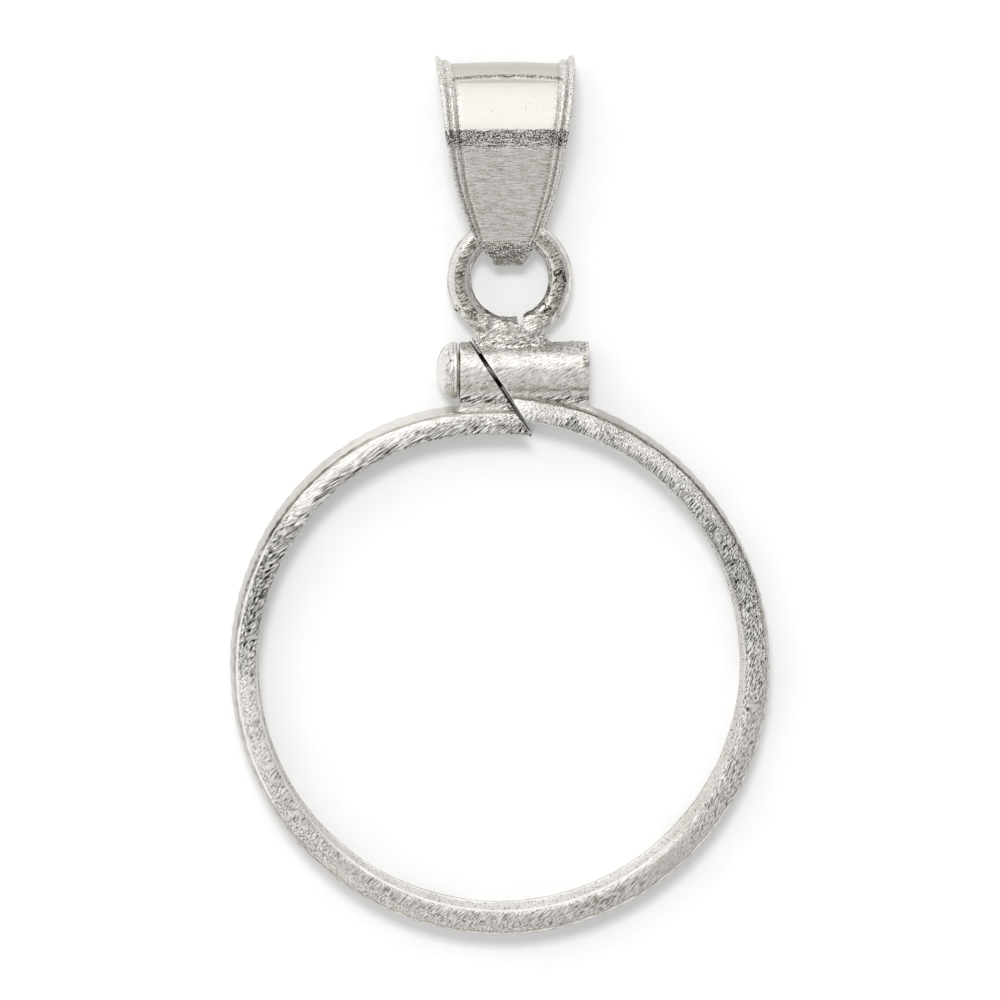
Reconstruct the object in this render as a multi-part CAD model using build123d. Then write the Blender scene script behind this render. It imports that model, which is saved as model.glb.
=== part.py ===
import os
from math import asin, cos, degrees, pi, radians, sin, sqrt, tan

from build123d import *

os.makedirs("parts", exist_ok=True)

# All lengths are in millimetres. The piece lies on its back: +X is to the right of the split, +Y runs
# up to the bail and +Z is the front. The ring's centre is the working origin until the last step.

# Coin and the channel that holds it
coin_diameter = 21.2
coin_thickness = 1.95
coin_side_play = 0.05
coin_edge_play = 0.07
lip_thickness = 0.35
lip_reach = 0.54
ring_wall = 0.56
edge_bevel = 0.18
inner_bevel = 0.08

# Coin edge: shallow upright flutes all round the wall, each this share of the pitch wide
flute_count = 96
flute_depth = 0.04
flute_share = 0.7

# The ring's two ends, as the spring of the wire left them: the left one droops and flattens, the
# right one opens a little. Angles are counted from +X towards +Y, and the lengths are the changes
# of the ring's radius.
left_bend_start = 150.0
left_bend_turn = 56.0
left_bend_tightening = 0.84
left_tip_turn = 12.0
left_tip_flattening = 7.0
right_bend_turn = 95.0
right_bend_opening = 0.22

# Saw cut through the ring and the barrel. It leans from upper left to lower right.
slit_width = 0.12
slit_lean = 33.0
slit_offset = -0.39
slit_overrun = 0.3

# Barrel on top of the ring, with a nick filed in the front of its right end
barrel_diameter = 2.4
barrel_sink = 0.11
barrel_left = 1.74
barrel_right = 3.7
nick_width = 0.8
nick_length = 0.24
nick_depth = 0.45

# Solder that fills the corner between the barrel and the ring
saddle_thickness = 1.7
saddle_spread = 0.42
saddle_foot = 0.35
saddle_toe = 0.15
saddle_climb = 0.35
saddle_hollow = 0.12
head_room = 0.08

# Clamp screw
shank_diameter = 1.4
bore_clearance = 0.04
shank_recess = 0.35
shank_chamfer = 0.15
head_diameter = 2.36
head_rim = 0.2
head_height = 0.85
head_gap = 0.05
slot_width = 0.34
slot_depth = 0.36

# Wire ring soldered on the barrel, with the seam in its wire left open
loop_wire = 1.06
loop_opening = 3.14
loop_offset = 0.4
loop_sink = 0.03
seam_width = 0.26
seam_depth = 0.72
seam_offset = 0.44

# Solder foot between the barrel and the wire ring
foot_thickness = 1.15
foot_half_width = 1.32
foot_rise = 0.62
foot_sink = 0.3
foot_hollow = 0.12

# Bail: a tapered strip loop with raised edges. It was folded askew, so its two leaves lean
# differently. The shifts are those of their lower ends from the wire ring's middle.
bail_length = 8.89
bail_top_radius = 2.15
bail_top_width = 5.8
bail_strip = 0.4
bail_rail_height = 0.14
bail_rail_share = 0.21
front_leaf_shift = -0.43
front_leaf_lean = 2.0
back_leaf_shift = 0.61
back_leaf_lean = -5.8
floor_gap = 0.02

# Room that the bail's bend leaves below the wire and in front of it
wire_play_below = 0.69
wire_play_front = 0.37

# Half outline of the flattened bail. Heights are shares of its length up from the bottom bend, and
# widths are shares of the top width. The first and last rows lie past its ends.
bail_outline = [
    # height, width
    (-0.02, 0.24),
    (0.04, 0.25),
    (0.09, 0.35),
    (0.143, 0.431),
    (0.27, 0.586),
    (0.43, 0.735),
    (0.62, 0.845),
    (0.86, 0.955),
    (1.02, 1.01),
]

# The sunk panel starts this share of the length above the bottom bend
panel_start_share = 0.15

# Worked out from the sizes above
channel_width = coin_thickness + 2 * coin_side_play
ring_depth = channel_width + 2 * lip_thickness
mid_height = ring_depth / 2
seat_radius = coin_diameter / 2 + coin_edge_play
lip_radius = seat_radius - lip_reach
outer_radius = seat_radius + ring_wall
barrel_radius = barrel_diameter / 2
barrel_height = outer_radius + barrel_radius - barrel_sink
barrel_top = barrel_height + barrel_radius
loop_inner = loop_opening / 2
loop_outer = loop_inner + loop_wire
loop_radius = loop_inner + loop_wire / 2
loop_height = barrel_top + loop_outer - loop_sink
wire_height = loop_height + loop_radius
bend_radius = loop_wire / 2 + wire_play_front + bail_strip
bail_bottom = -(loop_wire / 2 + wire_play_below + bail_strip)
bend_place = bail_bottom + bend_radius
top_place = bail_bottom + bail_length - bail_top_radius
bail_tilt = degrees(asin((bail_top_radius + floor_gap - mid_height) / top_place))
far = outer_radius * 4


def along(angle, radius):
    return radius * cos(radians(angle)), radius * sin(radians(angle))


def channel_section():
    """Cross-section of the ring, with its radius along X and its height along Z."""
    front = ring_depth
    return make_face(
        Polyline(
            (outer_radius - edge_bevel, 0, 0),
            (outer_radius, 0, edge_bevel),
            (outer_radius, 0, front - edge_bevel),
            (outer_radius - edge_bevel, 0, front),
            (lip_radius + inner_bevel, 0, front),
            (lip_radius, 0, front - inner_bevel),
            (lip_radius, 0, front - lip_thickness),
            (seat_radius, 0, front - lip_thickness),
            (seat_radius, 0, lip_thickness),
            (lip_radius, 0, lip_thickness),
            (lip_radius, 0, inner_bevel),
            (lip_radius + inner_bevel, 0, 0),
            close=True,
        )
    )


def ring_run(centre, growth, start, turn):
    """One arc of the ring with its flutes, its radius larger by the given growth."""
    section = Pos(growth, 0, 0) * channel_section()
    arc = revolve(section, Axis.Z, turn)
    radius = outer_radius + growth
    pitch = 2 * pi * outer_radius / flute_count
    step = degrees(pitch / radius)
    half = flute_share * pitch / 2
    flute_radius = (half**2 + flute_depth**2) / (2 * flute_depth)
    cutter = Cylinder(flute_radius, ring_depth * 2)
    flute = Pos(radius + flute_radius - flute_depth, 0, mid_height) * cutter
    arc -= [Rot(0, 0, (i + 0.5) * step) * flute for i in range(round(turn / step))]
    return Pos(centre[0], centre[1], 0) * Rot(0, 0, start) * arc


def beside_slit(side):
    """A block that fills one side of the saw cut: -1 is the left and 1 is the right."""
    block = Pos(side * (far + slit_width) / 2, 0, 0) * Box(far, far, far)
    return Pos(slit_offset, barrel_height, mid_height) * Rot(0, 0, slit_lean) * block


def make_ring():
    main = ring_run((0, 0), 0, left_bend_start, 360 - left_bend_start)

    opening = right_bend_opening
    right = ring_run(along(0, -opening), opening, 0, right_bend_turn)

    tightening = left_bend_tightening
    bend_centre = along(left_bend_start, tightening)
    bend_end = left_bend_start - left_bend_turn
    bend = ring_run(bend_centre, -tightening, bend_end, left_bend_turn)

    back_x, back_y = along(bend_end, tightening + left_tip_flattening)
    tip_centre = (bend_centre[0] - back_x, bend_centre[1] - back_y)
    tip = ring_run(tip_centre, left_tip_flattening, bend_end - left_tip_turn, left_tip_turn)

    left = (bend + tip) & beside_slit(-1)
    return main + left + (right & beside_slit(1))


def make_saddle():
    """Solder under the barrel and a little past its ends, down into the ring's wall."""
    left = -barrel_left
    right = barrel_right
    left_toe = left - saddle_spread
    right_toe = right + saddle_spread
    low = barrel_height - barrel_radius
    under_head = barrel_height - head_diameter / 2 - head_room
    droop = left_bend_tightening / 2

    def inside_wall(x):
        return sqrt((outer_radius - saddle_foot) ** 2 - x**2)

    left_foot = (left_toe, inside_wall(left_toe) - droop)
    middle_foot = (0, inside_wall(0) - droop)
    right_foot = (right_toe, inside_wall(right_toe))
    left_rise = (left_toe, left_foot[1] + saddle_toe)
    right_rise = (right_toe, right_foot[1] + saddle_toe)
    left_end = (left, under_head)
    right_end = (right, low + saddle_climb)
    right_hollow = (right + saddle_hollow, low)
    outline = [
        Line(left_foot, left_rise),
        Line(left_rise, left_end),
        Line(left_end, (left, barrel_height)),
        Line((left, barrel_height), (right, barrel_height)),
        Line((right, barrel_height), right_end),
        ThreePointArc(right_end, right_hollow, right_rise),
        Line(right_rise, right_foot),
        Line(right_foot, middle_foot),
        Line(middle_foot, left_foot),
    ]
    block = extrude(make_face(outline), saddle_thickness / 2, both=True)
    return Pos(0, 0, mid_height) * block


def make_barrel():
    length = barrel_left + barrel_right
    middle = (barrel_right - barrel_left) / 2
    place = Pos(middle, barrel_height, mid_height)
    return place * Rot(0, 90, 0) * Cylinder(barrel_radius, length)


def make_loop():
    """Wire ring whose seam is a wedge open to the inside, just right of the lowest point."""
    mouth = -sqrt(loop_inner**2 - seam_offset**2)
    wedge = make_face(
        Polyline(
            (seam_offset - seam_width / 2, mouth + seam_width),
            (seam_offset + seam_width / 2, mouth + seam_width),
            (seam_offset, mouth - seam_depth),
            close=True,
        )
    )
    wire = Torus(loop_radius, loop_wire / 2) - extrude(wedge, loop_wire, both=True)
    return Pos(loop_offset, loop_height, mid_height) * wire


def make_solder_foot():
    low = barrel_top - foot_sink
    high = barrel_top + foot_rise
    half = foot_half_width
    waist = sqrt(loop_radius**2 - (loop_height - high) ** 2)
    bow = (half + waist) / 2 - foot_hollow
    middle = (low + high) / 2
    outline = [
        Line((-half, low), (half, low)),
        ThreePointArc((half, low), (bow, middle), (waist, high)),
        Line((waist, high), (-waist, high)),
        ThreePointArc((-waist, high), (-bow, middle), (-half, low)),
    ]
    block = extrude(make_face(outline), foot_thickness / 2, both=True)
    block -= Pos(0, loop_height, 0) * Cylinder(loop_radius, foot_thickness * 2)
    return Pos(loop_offset, 0, mid_height) * block


def make_frame():
    """Ring, barrel, wire ring and solder as one piece, then bored and sawn through."""
    solid = make_ring() + make_saddle() + make_barrel() + make_solder_foot() + make_loop()

    bore_radius = shank_diameter / 2 + bore_clearance
    bore = Cylinder(bore_radius, (barrel_left + barrel_right) * 2)
    solid -= Pos(0, barrel_height, mid_height) * Rot(0, 90, 0) * bore

    lean = cos(radians(slit_lean))
    above = (barrel_radius + slit_overrun) / lean
    below = (barrel_height - lip_radius + lip_reach) / lean
    slit = Pos(0, (above - below) / 2, 0) * Box(slit_width, above + below, ring_depth * 2)
    solid -= Pos(slit_offset, barrel_height, mid_height) * Rot(0, 0, slit_lean) * slit

    nick = Box(nick_length * 2, nick_width, nick_depth * 2)
    solid -= Pos(barrel_right, barrel_height, mid_height + barrel_radius) * nick
    return solid


def make_screw():
    """Domed slotted head and plain shank, seated against the barrel's left end."""
    seat = -barrel_left - head_gap
    tip = barrel_right - shank_recess
    head = head_diameter / 2
    shank = shank_diameter / 2
    rim = seat - head_rim
    crown = seat - head_height
    dome_x, dome_y = along(45, 1)
    shoulder = (rim - (head_height - head_rim) * dome_x, head * dome_y)
    outline = [
        Line((tip, 0), (tip, shank - shank_chamfer)),
        Line((tip, shank - shank_chamfer), (tip - shank_chamfer, shank)),
        Line((tip - shank_chamfer, shank), (seat, shank)),
        Line((seat, shank), (seat, head)),
        Line((seat, head), (rim, head)),
        ThreePointArc((rim, head), shoulder, (crown, 0)),
        Line((crown, 0), (tip, 0)),
    ]
    turned = revolve(make_face(outline), Axis.X)
    slot = Pos(crown, 0, 0) * Box(slot_depth * 2, head_diameter * 2, slot_width)
    return Pos(0, barrel_height, mid_height) * (turned - slot)


def teardrop(inset):
    """Side view of the bail drawn along Y and Z, set in from its outer face, and run across X."""
    top = bail_top_radius - inset
    bend = bend_radius - inset
    touch = 90 + degrees(asin((top - bend) / (top_place - bend_place)))

    def at(place, radius, angle):
        y, z = along(angle, radius)
        return 0, place + y, z

    outline = [
        ThreePointArc(at(top_place, top, touch), at(top_place, top, 0), at(top_place, top, -touch)),
        Line(at(top_place, top, -touch), at(bend_place, bend, -touch)),
        ThreePointArc(at(bend_place, bend, -touch), at(bend_place, bend, 180), at(bend_place, bend, touch)),
        Line(at(bend_place, bend, touch), at(top_place, top, touch)),
    ]
    return extrude(make_face(outline), bail_top_width, dir=(1, 0, 0), both=True)


def leaf_outline(side, share, start):
    """Outline of one leaf, on a plane before or behind the whole bail: 1 is the front."""
    shift = front_leaf_shift if side > 0 else back_leaf_shift
    lean = tan(radians(front_leaf_lean if side > 0 else back_leaf_lean))
    left = []
    right = []
    for height, width in bail_outline:
        if height < start:
            continue
        middle = shift + lean * bail_length * height
        reach = bail_top_width / 2 * width * share
        left.append((middle - reach, bail_bottom + bail_length * height))
        right.append((middle + reach, bail_bottom + bail_length * height))
    outline = [
        Spline(right),
        Line(right[-1], left[-1]),
        Spline(left),
        Line(left[0], right[0]),
    ]
    return Pos(0, 0, side * (bail_top_radius + 2 * bail_rail_height)) * make_face(outline)


def bail_prism(share, start):
    """The bail's outline, or a narrower share of it, run straight from leaf to leaf."""
    return loft([leaf_outline(-1, share, start), leaf_outline(1, share, start)], ruled=True)


def make_bail():
    """Loop of strip round the wire, laid back until its top touches the floor."""
    loop = (teardrop(0) - teardrop(bail_strip)) & bail_prism(1, bail_outline[0][0])
    skin = teardrop(-bail_rail_height) - teardrop(bail_rail_height)
    panel = skin & bail_prism(1 - bail_rail_share, panel_start_share)
    place = Pos(loop_offset, wire_height, mid_height)
    return place * Rot(bail_tilt, 0, 0) * (loop - panel)


parts = {
    "bezel_frame": make_frame(),
    "clamp_screw": make_screw(),
    "bail": make_bail(),
}

# The origin moves to the middle of the piece's footprint, at the height that it lies on
box = Compound(children=[Compound(part.solids()) for part in parts.values()]).bounding_box()
to_origin = Pos(-(box.min.X + box.max.X) / 2, -(box.min.Y + box.max.Y) / 2, -box.min.Z)

for name, part in parts.items():
    export_step(to_origin * Compound(part.solids()), f"parts/{name}.step")
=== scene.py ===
import math
import bmesh
import bpy
from mathutils import Matrix, Vector


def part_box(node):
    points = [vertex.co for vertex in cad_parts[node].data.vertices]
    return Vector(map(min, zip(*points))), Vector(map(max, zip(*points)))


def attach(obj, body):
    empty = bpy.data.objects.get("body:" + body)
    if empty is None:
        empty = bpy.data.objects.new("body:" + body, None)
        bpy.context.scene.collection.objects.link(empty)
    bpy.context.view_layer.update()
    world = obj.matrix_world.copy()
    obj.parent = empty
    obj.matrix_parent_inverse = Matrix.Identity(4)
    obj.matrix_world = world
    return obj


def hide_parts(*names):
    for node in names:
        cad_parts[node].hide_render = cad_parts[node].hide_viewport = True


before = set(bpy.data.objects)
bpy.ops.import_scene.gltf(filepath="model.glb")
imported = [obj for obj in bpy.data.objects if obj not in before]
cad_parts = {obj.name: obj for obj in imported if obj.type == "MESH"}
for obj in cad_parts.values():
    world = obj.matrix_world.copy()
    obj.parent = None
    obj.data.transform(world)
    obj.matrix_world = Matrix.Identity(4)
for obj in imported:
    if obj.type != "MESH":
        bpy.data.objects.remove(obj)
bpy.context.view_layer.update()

mm = 0.001  # pieces are modelled at 1 unit to the millimetre and scaled down at the end
samePoint = 0.00001  # points nearer than this are one
smoothAngle = 38  # degrees; edges flatter than this are shaded smooth


# helpers used by every piece
def selectNone():
    if bpy.context.object and bpy.context.object.mode != "OBJECT":
        bpy.ops.object.mode_set(mode="OBJECT")
    bpy.ops.object.select_all(action="DESELECT")


def pickObjects(*objs):
    selectNone()
    for obj in objs:
        obj.select_set(True)
    bpy.context.view_layer.objects.active = objs[0]


def openEdit(obj):
    pickObjects(obj)
    bpy.ops.object.mode_set(mode="EDIT")
    bpy.ops.mesh.select_mode(type="VERT")


def closeEdit():
    bpy.ops.object.mode_set(mode="OBJECT")


def pickAll():
    bpy.ops.mesh.select_all(action="SELECT")


def pickVerts(test):
    bpy.ops.mesh.select_mode(type="VERT")
    bpy.ops.mesh.select_all(action="DESELECT")
    mesh = bpy.context.edit_object.data
    bm = bmesh.from_edit_mesh(mesh)
    for v in bm.verts:
        if not v.hide and test(v.co):
            v.select = True
    bm.select_flush(True)
    bmesh.update_edit_mesh(mesh)


def pickGroup(name, test):
    # the part of a vertex group that passes the test
    mesh = bpy.context.edit_object.data
    index = bpy.context.edit_object.vertex_groups[name].index
    bpy.ops.mesh.select_mode(type="VERT")
    bpy.ops.mesh.select_all(action="DESELECT")
    bm = bmesh.from_edit_mesh(mesh)
    layer = bm.verts.layers.deform.verify()
    for v in bm.verts:
        if not v.hide and v[layer].get(index, 0) > 0.5 and test(v.co):
            v.select = True
    bm.select_flush(True)
    bmesh.update_edit_mesh(mesh)


def nameGroup(name, test):
    obj = bpy.context.edit_object
    pickVerts(test)
    obj.vertex_groups.new(name=name)
    obj.vertex_groups.active_index = len(obj.vertex_groups) - 1
    bpy.ops.object.vertex_group_assign()


def drawOutline(name, points, filled=False):
    # an outline drawn point by point and closed
    selectNone()
    points = [Vector(p) for p in points]
    bpy.ops.mesh.primitive_plane_add(size=0.001, location=points[0])
    obj = bpy.context.object
    obj.name = name
    bpy.ops.object.transform_apply()
    openEdit(obj)
    pickAll()
    bpy.ops.mesh.merge(type="CENTER")
    for here, there in zip(points, points[1:] + points[:1]):
        bpy.ops.mesh.extrude_region_move(TRANSFORM_OT_translate={"value": there - here})
    pickAll()
    bpy.ops.mesh.remove_doubles(threshold=samePoint)
    if filled:
        bpy.ops.mesh.edge_face_add()
    return obj


def divide(test, cuts):
    # extra points on the edges whose middle and length pass the test
    bpy.ops.mesh.select_mode(type="EDGE")
    bpy.ops.mesh.select_all(action="DESELECT")
    mesh = bpy.context.edit_object.data
    bm = bmesh.from_edit_mesh(mesh)
    for e in bm.edges:
        if not e.hide and test((e.verts[0].co + e.verts[1].co) / 2, e.calc_length()):
            e.select_set(True)
    bmesh.update_edit_mesh(mesh)
    bpy.ops.mesh.subdivide(number_cuts=cuts)
    bpy.ops.mesh.select_mode(type="VERT")


def faceOutwards(mergeReach=0):
    pickAll()
    if mergeReach:
        bpy.ops.mesh.remove_doubles(threshold=mergeReach)
    bpy.ops.mesh.normals_make_consistent(inside=False)


def applyModifier(obj, kind, **settings):
    pickObjects(obj)
    mod = obj.modifiers.new(kind.title(), kind)
    for key, value in settings.items():
        setattr(mod, key, value)
    bpy.ops.object.modifier_apply(modifier=mod.name)


def roughen(obj, name, size, strength, level, group=""):
    # moves the surface in and out by a cloud pattern; a tone at level stays where it is
    clouds = bpy.data.textures.new(name, "CLOUDS")
    clouds.noise_scale = size
    clouds.noise_depth = 2
    applyModifier(obj, "DISPLACE", texture=clouds, texture_coords="LOCAL", strength=strength,
                  mid_level=level, vertex_group=group)


def cutAway(obj, cutter):
    pickObjects(cutter)
    bpy.ops.object.transform_apply()
    applyModifier(obj, "BOOLEAN", object=cutter, operation="DIFFERENCE", solver="EXACT")
    bpy.data.objects.remove(cutter)


def toCadPlace(obj, name):
    # to real metres, with the place in the mesh, as the CAD nodes have it
    pickObjects(obj)
    bpy.ops.transform.resize(value=(mm, mm, mm), center_override=(0, 0, 0))
    bpy.ops.object.transform_apply()
    obj.name = name
    obj.data.name = name
    bpy.ops.object.shade_smooth_by_angle(angle=math.radians(smoothAngle))


def held(value):
    # no less than 0 and no more than 1
    return min(max(value, 0), 1)


# camera over the piece, leaning a little towards the bail
camSet = {
    "distance": 700 * mm,
    "pixelsPerMm": 24.14,
    "frameWidth": 1000,
    "sensor": 36.0,
    "leanUp": 5.6,
    "leanLeft": 1.8,
    "aim": Vector((-0.05, -0.067, 2.75)) * mm,
    "clip": (0.01, 10),
}


def makeCamera(s):
    data = bpy.data.cameras.new("photoCamera")
    cam = bpy.data.objects.new("photoCamera", data)
    bpy.context.collection.objects.link(cam)
    leanLeft, leanUp = math.radians(s["leanLeft"]), math.radians(s["leanUp"])
    away = Vector((-math.tan(leanLeft), math.tan(leanUp), 1)).normalized()
    cam.location = s["aim"] + away * s["distance"]
    cam.rotation_mode = "QUATERNION"
    right = Vector((0, 1, 0)).cross(away).normalized()
    cam.rotation_quaternion = Matrix((right, away.cross(right), away)).transposed().to_quaternion()
    data.sensor_width = s["sensor"]
    data.lens = s["pixelsPerMm"] * s["distance"] / mm / s["frameWidth"] * s["sensor"]
    data.clip_start, data.clip_end = s["clip"]
    bpy.context.scene.camera = cam


# materials: maths on wires, and one method for every other node
class Wire:
    def __init__(self, bench, socket):
        self.bench, self.socket = bench, socket

    def maths(self, operation, *values):
        return self.bench.node("ShaderNodeMath", {"operation": operation}, dict(enumerate(values)))

    def __add__(self, other):
        return self.maths("ADD", self, other)

    def __radd__(self, other):
        return self.maths("ADD", other, self)

    def __sub__(self, other):
        return self.maths("SUBTRACT", self, other)

    def __rsub__(self, other):
        return self.maths("SUBTRACT", other, self)

    def __mul__(self, other):
        return self.maths("MULTIPLY", self, other)

    def __rmul__(self, other):
        return self.maths("MULTIPLY", other, self)

    def __truediv__(self, other):
        return self.maths("DIVIDE", self, other)

    def __pow__(self, other):
        return self.maths("POWER", self, other)

    def __abs__(self):
        return self.maths("ABSOLUTE", self)

    def most(self, other):
        return self.maths("MAXIMUM", self, other)

    def least(self, other):
        return self.maths("MINIMUM", self, other)


class Bench:
    def __init__(self, tree):
        self.tree = tree
        tree.nodes.clear()

    def node(self, kind, settings=None, values=None, out=0):
        made = self.tree.nodes.new(kind)
        for name, value in (settings or {}).items():
            if name == "stops":
                ramp = made.color_ramp
                while len(ramp.elements) > 1:
                    ramp.elements.remove(ramp.elements[-1])
                for i, (place, tone) in enumerate(value):
                    stop = ramp.elements[0] if i == 0 else ramp.elements.new(place)
                    stop.position = place
                    stop.color = tone if isinstance(tone, tuple) else (tone, tone, tone, 1)
            else:
                setattr(made, name, value)
        for name, value in (values or {}).items():
            socket = made.inputs[name]
            if isinstance(value, Wire):
                self.tree.links.new(value.socket, socket)
            else:
                socket.default_value = value
        if isinstance(out, (tuple, list)):
            return [Wire(self, made.outputs[o]) for o in out]
        return Wire(self, made.outputs[out]) if len(made.outputs) else made

    def millimetres(self, turn=0.0, stretch=(1, 1, 1)):
        # the piece's own place in millimetres, turned about +Z and then stretched
        place = self.node("ShaderNodeTexCoord", out="Object")
        turned = self.node("ShaderNodeMapping", {"vector_type": "POINT"},
                           {"Vector": place, "Rotation": (0, 0, math.radians(-turn))})
        return self.node("ShaderNodeMapping", {"vector_type": "POINT"},
                         {"Vector": turned, "Scale": tuple(1000 * k for k in stretch)})

    def noise(self, place, size=1.0, detail=2.0, rough=0.5):
        return self.node("ShaderNodeTexNoise", None,
                         {"Vector": place, "Scale": 1 / size, "Detail": detail, "Roughness": rough})

    def between(self, wire, low, high, outLow=0.0, outHigh=1.0):
        # smooth step from one value to another
        return self.node("ShaderNodeMapRange", {"interpolation_type": "SMOOTHSTEP"},
                         {"Value": wire, "From Min": low, "From Max": high, "To Min": outLow, "To Max": outHigh})

    def until(self, wire, low, high):
        # 1 up to low and 0 from high
        return self.between(wire, low, high, 1.0, 0.0)

    def band(self, wire, low, high, soft):
        # 1 from low to high, fading over soft on both sides
        return self.between(wire, low - soft, low) * self.until(wire, high, high + soft)

    def place(self):
        # x, y and z of the piece in millimetres
        return self.node("ShaderNodeSeparateXYZ", None, {0: self.millimetres()}, out=(0, 1, 2))

    def upright(self):
        # 0 on a side face, 1 on a face that looks up or down
        normal = self.node("ShaderNodeTexCoord", out="Normal")
        return abs(self.node("ShaderNodeSeparateXYZ", None, {0: normal}, out=2))

    def values(self, name):
        # what a piece's own attribute says
        return self.node("ShaderNodeAttribute", {"attribute_type": "GEOMETRY", "attribute_name": name}, out="Fac")


def distance(x, y, spot):
    return ((x - spot[0]) ** 2.0 + (y - spot[1]) ** 2.0) ** 0.5


def addMasks(amounts, **masks):
    # the masks added up, each times its amount, on top of what is there without any
    total = amounts["plain"]
    for name, mask in masks.items():
        total = total + mask * amounts[name]
    return total


markSet = {
    "strokeTones": (0.32, 0.68),  # noise at the darkest and at the lightest stroke
    "strokeFade": 1.5,  # millimetres on either side of a family's reach
    # as shares of a spot's radius: where it fades, how far and how finely its edge wanders
    "spotReach": (0.45, 0.9),
    "spotRagged": 2.4,
    "spotGrain": 0.5,
    "patchStrokes": (0.4, 1.2),  # least of the strokes, and how much a patch adds
    "patchTones": (0.3, 0.7),
    "patchPits": 0.2,
    "pitSoft": 0.06,
    "stainTones": (0.54, 0.72),
    "polished": 0.5,  # how much smoother a fully polished place is
}


def fileMarks(bench, families, reach):
    # strokes, about 0: degrees from +X, width and length in millimetres, share, and where they are (x, y)
    x, y, z = bench.place()
    total = None
    for turn, width, length, share, spot in families:
        marks = bench.noise(bench.millimetres(turn, (1 / length, 1 / width, 1 / width)), 1.0, 0.0)
        marks = (bench.between(marks, *markSet["strokeTones"]) - 0.5) * share
        if spot:
            fade = markSet["strokeFade"]
            marks = marks * bench.until(distance(x, y, spot), reach - fade, reach + fade)
        total = marks if total is None else total + marks
    return total


def nearSpot(bench, x, y, spot, radius):
    # 1 at a spot and 0 outside its ragged edge
    wander = bench.noise(bench.millimetres(), radius * markSet["spotGrain"], 3.0, 0.6) - 0.5
    sure, furthest = markSet["spotReach"]
    away = distance(x, y, spot) + wander * radius * markSet["spotRagged"]
    return bench.until(away, radius * sure, radius * furthest)


# light: a soft room, brighter on the left, a wide soft box beyond the bail, and a weak wide sun
lightSet = {
    # sine of the lean to the right, and the brightness there
    "room": [(-1.0, 0.95), (-0.55, 0.92), (-0.25, 0.97), (-0.1, 0.81), (0.03, 0.72), (0.3, 0.68),
             (0.6, 0.58), (1.0, 0.55)],
    # degrees from straight up towards the bail, and how much the box adds there
    "box": [(6, 0.0), (16, 0.33), (23, 0.57), (60, 0.57), (70, 0.36), (80, 0.07), (92, 0.0)],
    "boxSides": (-0.66, 0.5, 0.16),
    "full": 3.0,  # brightness that the top of a ramp stands for
    "sun": (0.46, 19.0, -4.0, 11.0),  # strength on the table, lean to the bail, lean to the right, width
}


def makeLight(s):
    world = bpy.data.worlds.new("softRoom")
    bpy.context.scene.world = world
    world.use_nodes = True
    bench = Bench(world.node_tree)
    way = bench.node("ShaderNodeTexCoord", out="Generated")
    x, y, z = bench.node("ShaderNodeSeparateXYZ", None, {0: way}, out=(0, 1, 2))
    turn = y.maths("ARCTAN2", y, z) / (2 * math.pi) + 0.5
    roomStops = [(lean / 2 + 0.5, tone / s["full"]) for lean, tone in s["room"]]
    boxStops = [((degrees + 180) / 360, tone / s["full"]) for degrees, tone in s["box"]]
    room = bench.node("ShaderNodeValToRGB", {"stops": roomStops}, {0: x / 2 + 0.5})
    box = bench.node("ShaderNodeValToRGB", {"stops": boxStops}, {0: turn})
    lit = room + box * bench.band(x, *s["boxSides"])
    glow = bench.node("ShaderNodeBackground", None, {0: lit, 1: s["full"]})
    bench.node("ShaderNodeOutputWorld", None, {0: glow})
    strength, up, right, width = s["sun"]
    data = bpy.data.lights.new("softSun", "SUN")
    data.energy = strength * math.pi / math.cos(math.radians(up))
    data.angle = math.radians(width)
    sun = bpy.data.objects.new("softSun", data)
    bpy.context.collection.objects.link(sun)
    sun.visible_glossy = False
    away = Vector((math.tan(math.radians(right)), math.tan(math.radians(up)), 1)).normalized()
    sun.rotation_mode = "QUATERNION"
    sun.rotation_quaternion = away.to_track_quat("Z", "Y")


# the pale table
floorSet = {
    "size": 3,
    "patches": 3.0,
    "tones": [(0.3, 0.67), (0.7, 0.69)],
    "roughness": 0.8,
    "specular": 0.1,
    "glow": 0.17,
}


def makeFloor(s):
    selectNone()
    bpy.ops.mesh.primitive_plane_add(size=s["size"])
    floor = bpy.context.object
    floor.name = "paleTable"
    mat = bpy.data.materials.new("paleTable")
    mat.use_nodes = True
    bench = Bench(mat.node_tree)
    grain = bench.noise(bench.millimetres(), s["patches"])
    tone = bench.node("ShaderNodeValToRGB", {"stops": s["tones"]}, {0: grain})
    surface = bench.node("ShaderNodeBsdfPrincipled", None, {
        "Base Color": tone, "Roughness": s["roughness"], "Specular IOR Level": s["specular"],
        "Emission Color": (1, 1, 1, 1), "Emission Strength": s["glow"]})
    bench.node("ShaderNodeOutputMaterial", None, {0: surface})
    floor.data.materials.append(mat)


# silver: what all pieces share; each piece has its own finish beside its shape
silverFinish = {
    "tones": [(0.0, (0.035, 0.03, 0.024, 1)), (0.18, (0.16, 0.145, 0.12, 1)), (0.36, (0.5, 0.47, 0.43, 1)),
              (0.5, (0.725, 0.69, 0.642, 1)), (0.56, (0.765, 0.752, 0.728, 1)), (0.75, (0.95, 0.935, 0.91, 1))],
    "rough": (0.24, 0.34),
    "strokesReach": 6.8,
    "grainSize": 0.04,
    "grain": 0.7,
    "relief": 0.012,
    "patchSize": 1.3,
    "pitSize": 0.06,
    "pitLevel": 0.76,
    "pitDepth": 0.012,
    "pitDark": 0.3,
    "stainSize": 0.5,
    "stain": 0.0,
}


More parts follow.
